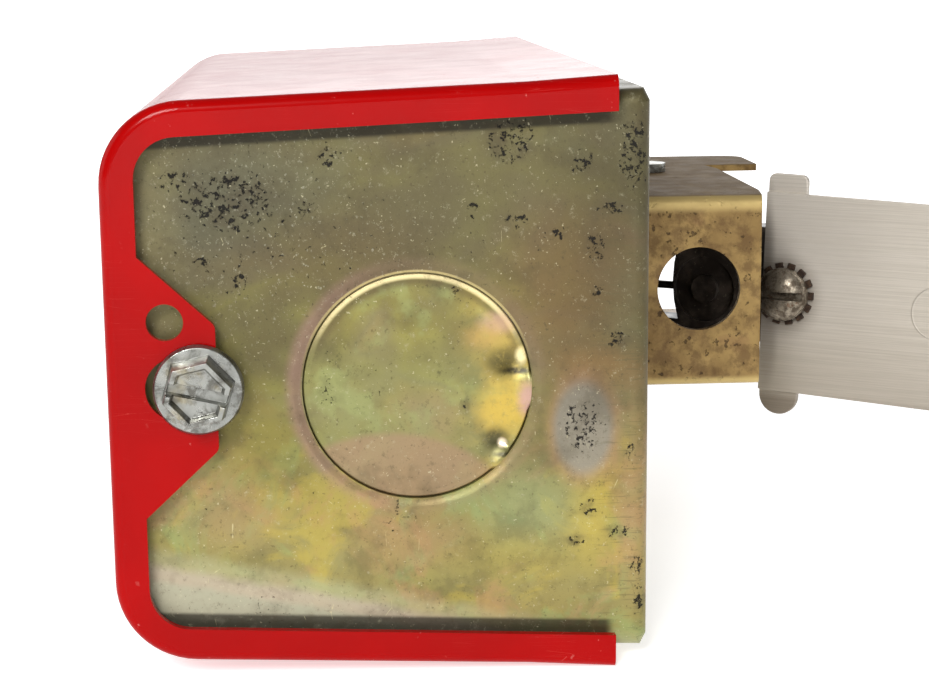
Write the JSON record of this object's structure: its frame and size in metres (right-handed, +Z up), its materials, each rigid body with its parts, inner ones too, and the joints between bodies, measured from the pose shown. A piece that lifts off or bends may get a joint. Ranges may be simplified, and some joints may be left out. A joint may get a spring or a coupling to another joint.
{
  "type": "paddle flow switch",
  "caption": "Duct air-flow switch: red folded steel cover over a plated steel case, with a swinging stainless paddle on a bracket.",
  "frame": {"origin": "centre of the face of the case that lies against the duct", "axes": "+X out of the mounting face into the duct, +Y along the case, +Z up"},
  "size_m": [0.1769, 0.1154, 0.0582],
  "materials": {
    "red_paint": "glossy enamel",
    "yellow_zinc": "yellow dichromate plating, worn",
    "brassy_zinc": "gold plating, stained",
    "bright_zinc": "bright zinc",
    "stainless": "brushed stainless",
    "stainless_screw": "aged steel",
    "rusty_washer": "brown oxide",
    "dark_wire": "dark steel wire",
    "black_moulding": "satin black moulding",
    "spring_wire": "spring steel",
    "switch_black": "phenolic moulding",
    "plunger_red": "moulded button",
    "terminal_brass": "brass",
    "green_screw": "green dyed zinc",
    "grey_board": "vulcanised fibre"
  },
  "bodies": {
    "case": {"chassis": "yellow_zinc", "knockout_near": "yellow_zinc", "knockout_far": "yellow_zinc", "arm_bracket": "brassy_zinc", "bracket_rivets": "bright_zinc", "return_spring": "spring_wire", "switch_case": "switch_black", "switch_lid_plate": "switch_black", "lever_cheeks": "spring_wire", "switch_terminals": "terminal_brass", "switch_bracket": "bright_zinc", "switch_screws": "bright_zinc", "switch_spacers": "terminal_brass", "switch_bracket_screws": "bright_zinc", "ground_screw": "green_screw", "wiring_barrier": "grey_board"},
    "cover_shell": {"cover": "red_paint"},
    "near_cover_screw": {"cover_screw_near": "bright_zinc"},
    "far_cover_screw": {"cover_screw_far": "bright_zinc"},
    "paddle_arm": {"pivot_pin": "bright_zinc", "pin_retaining_ring": "bright_zinc", "arm_hub": "black_moulding", "arm_wire": "dark_wire", "paddle": "stainless", "backing_strip": "stainless", "lock_washer": "rusty_washer", "paddle_screw": "stainless_screw"},
    "lever": {"switch_lever": "spring_wire"},
    "plunger": {"switch_plunger": "plunger_red"},
    "adjusting_screw": {"range_screw": "terminal_brass", "range_screw_clip": "spring_wire"},
    "adjusting_stop": {"range_stop": "terminal_brass"}
  },
  "joints": [
    {"name": "cover_slide", "type": "slide", "parent": "case", "child": "cover_shell", "axis": [-1, 0, 0], "range_m": [0, 0.06]},
    {"name": "near_cover_screw_turn", "type": "hinge", "parent": "case", "child": "near_cover_screw", "pos_m": [-0.0434, -0.0542, 0], "axis": [0, -1, 0], "continuous": true},
    {"name": "far_cover_screw_turn", "type": "hinge", "parent": "case", "child": "far_cover_screw", "pos_m": [-0.0434, 0.0542, 0], "axis": [0, 1, 0], "continuous": true},
    {"name": "paddle_swing", "type": "hinge", "parent": "case", "child": "paddle_arm", "pos_m": [0.0105, 0.0225, 0], "axis": [0, 0, 1], "range_deg": [0, 50], "deforming": ["return_spring"]},
    {"name": "switch_lever_tilt", "type": "hinge", "parent": "case", "child": "lever", "pos_m": [-0.0112, 0.039, -0.002], "axis": [0, 0, 1], "range_deg": [-8, 0]},
    {"name": "switch_plunger_press", "type": "slide", "parent": "case", "child": "plunger", "axis": [-1, 0, 0], "range_m": [0, 0.0016]},
    {"name": "range_screw_turn", "type": "hinge", "parent": "case", "child": "adjusting_screw", "pos_m": [-0.0054, 0.044, -0.0098], "axis": [0, 1, 0], "range_deg": [0, 3600]},
    {"name": "range_stop_travel", "type": "slide", "parent": "case", "child": "adjusting_stop", "axis": [0, 1, 0], "range_m": [0, 0.005]}
  ],
  "couplings": [
    {"joint": "switch_lever_tilt", "follows": "paddle_swing", "ratio": -0.15},
    {"joint": "switch_plunger_press", "follows": "paddle_swing", "m_per_rad": 0.001719},
    {"joint": "range_screw_turn", "follows": "range_stop_travel", "rad_per_m": 12566}
  ]
}
